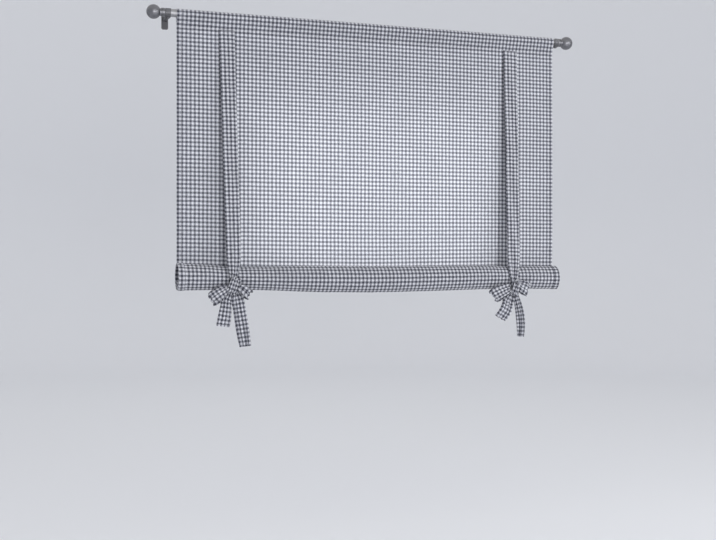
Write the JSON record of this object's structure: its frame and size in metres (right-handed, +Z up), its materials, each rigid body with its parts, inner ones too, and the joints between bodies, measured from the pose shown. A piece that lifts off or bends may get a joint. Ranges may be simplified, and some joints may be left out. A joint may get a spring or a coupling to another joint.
{
  "type": "tie-up roman blind",
  "caption": "Gingham cloth window blind with a rod pocket, rolled up and held by cloth ties in bows, on a ball-ended rod with two wall brackets.",
  "frame": {"origin": "on the wall, centre of the four screw holes of the two wall plates", "axes": "+X along the rod to the right as seen from the room, +Y into the wall, +Z up"},
  "size_m": [1.13, 0.1292, 0.7962],
  "materials": {
    "rod_steel": "satin nickel",
    "finial_metal": "satin grey",
    "bracket_metal": "satin grey lacquer",
    "screw_steel": "zinc plated",
    "panel_cloth": "slate grey and white small check, plain weave",
    "tie_cloth": "slate grey and white small check, two layers"
  },
  "bodies": {
    "root": {"rod": "rod_steel", "left_finial": "finial_metal", "right_finial": "finial_metal", "left_bracket": "bracket_metal", "right_bracket": "bracket_metal", "left_set_screw": "screw_steel", "right_set_screw": "screw_steel", "cloth_panel": "panel_cloth", "left_front_tie": "tie_cloth", "left_back_tie": "tie_cloth", "right_front_tie": "tie_cloth", "right_back_tie": "tie_cloth"}
  },
  "joints": []
}
